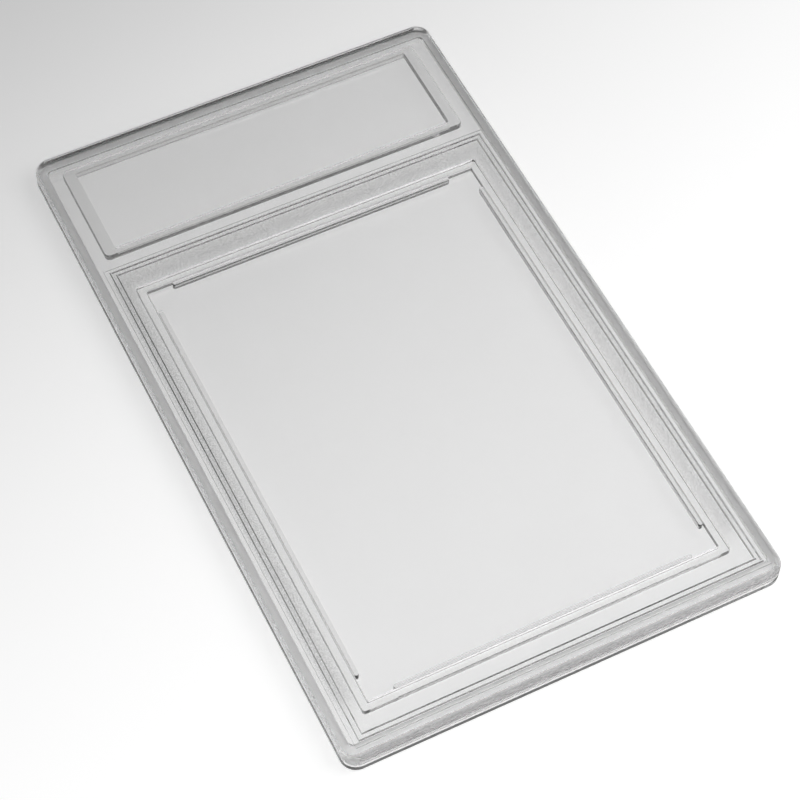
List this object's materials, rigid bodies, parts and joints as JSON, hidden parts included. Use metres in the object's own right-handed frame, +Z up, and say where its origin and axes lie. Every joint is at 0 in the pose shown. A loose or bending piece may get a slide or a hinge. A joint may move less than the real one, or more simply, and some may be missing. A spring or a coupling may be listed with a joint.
{
  "type": "trading card display case",
  "caption": "Clear flat display case for a standard trading card: a back shell with card rails and a label pocket, closed by a lift-off front shell with fine raised beads around the card window.",
  "frame": {"origin": "middle of the flat back face that the case rests on", "axes": "+X across the width, +Y along the length towards the label end, +Z up out of the front face"},
  "size_m": [0.0826, 0.137, 0.0063],
  "materials": {
    "clear_back": "clear, polished, faintly frosted around the card well",
    "clear_front": "clear, polished"
  },
  "bodies": {
    "back": {"back_shell": "clear_back"},
    "front": {"front_shell": "clear_front"}
  },
  "joints": [
    {"name": "front_lift", "type": "slide", "parent": "back", "child": "front", "axis": [0, 0, 1], "range_m": [0, 0.03]}
  ]
}
